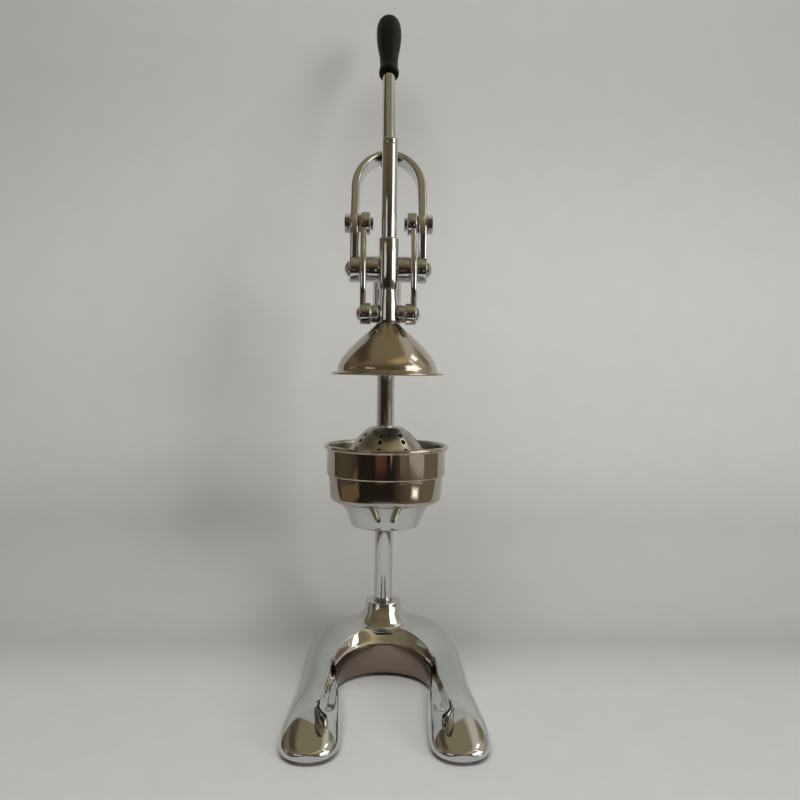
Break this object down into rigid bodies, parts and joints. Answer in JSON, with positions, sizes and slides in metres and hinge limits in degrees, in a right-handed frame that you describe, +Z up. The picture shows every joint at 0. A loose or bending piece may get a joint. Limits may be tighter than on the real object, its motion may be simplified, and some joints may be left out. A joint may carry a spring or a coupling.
{
  "type": "lever citrus juice press",
  "caption": "Chromed stand-up citrus press: an arch lever drives a bell onto a perforated cone over a funnel cup.",
  "frame": {"origin": "on the table, in the middle of the space that the press takes up", "axes": "+Z up, -Y to the front where the feet point, +X to the right as seen from the front"},
  "size_m": [0.1826, 0.359, 0.7548],
  "materials": {
    "chromed_casting": "cast zinc alloy, polished and chromium plated",
    "chromed_steel": "drawn steel, polished and chromium plated",
    "polished_stainless": "spun stainless steel sheet, polished",
    "zinc_steel": "turned steel, bright zinc plated",
    "sintered_bronze": "sintered bronze bearing, oiled",
    "grip_plastic": "moulded black plastic, satin",
    "foot_rubber": "moulded black rubber"
  },
  "bodies": {
    "frame": {"base": "chromed_casting", "foot_pad_front_left": "foot_rubber", "foot_pad_front_right": "foot_rubber", "foot_pad_rear_left": "foot_rubber", "foot_pad_rear_right": "foot_rubber", "foot_screw_front_left": "zinc_steel", "foot_screw_front_right": "zinc_steel", "foot_screw_rear_left": "zinc_steel", "foot_screw_rear_right": "zinc_steel", "column": "chromed_steel", "column_washer": "zinc_steel", "column_bolt": "zinc_steel", "cup_bracket": "chromed_casting", "bracket_screw": "chromed_steel", "funnel_cup": "polished_stainless", "strainer": "polished_stainless", "head": "chromed_casting", "head_screw": "chromed_steel", "guide_sleeve": "chromed_steel", "pivot_bush_left": "sintered_bronze", "pivot_bush_right": "sintered_bronze"},
    "lever": {"arch": "chromed_steel", "main_shaft": "zinc_steel", "lever_rod": "chromed_steel", "crown_nut": "chromed_steel", "grip": "grip_plastic", "shaft_cap_left": "chromed_steel", "shaft_cap_right": "chromed_steel", "link_bolt_left": "chromed_steel", "link_bolt_right": "chromed_steel", "link_spacer_left": "zinc_steel", "link_spacer_right": "zinc_steel", "link_nut_left": "chromed_steel", "link_nut_right": "chromed_steel"},
    "links": {"link_left": "chromed_steel", "link_right": "chromed_steel", "link_pin_left": "chromed_steel", "link_pin_right": "chromed_steel"},
    "plunger": {"press_rod": "chromed_steel", "press_rod_cap": "chromed_steel", "neck": "chromed_casting", "neck_screw_left": "zinc_steel", "neck_screw_right": "zinc_steel", "bell": "polished_stainless", "bell_screw": "zinc_steel"}
  },
  "joints": [
    {"name": "lever_swing", "type": "hinge", "parent": "frame", "child": "lever", "pos_m": [0, -0.00448, 0.428], "axis": [1, 0, 0], "range_deg": [0, 145]},
    {"name": "link_swing", "type": "hinge", "parent": "lever", "child": "links", "pos_m": [0, -0.00448, 0.4738], "axis": [1, 0, 0], "range_deg": [-128.93, 0]},
    {"name": "plunger_slide", "type": "slide", "parent": "frame", "child": "plunger", "axis": [0, 0, -1], "range_m": [0, 0.08498]}
  ],
  "couplings": [
    {"joint": "link_swing", "follows": "lever_swing", "ratio": -0.88915},
    {"joint": "plunger_slide", "follows": "lever_swing", "m_per_rad": 0.033577}
  ]
}
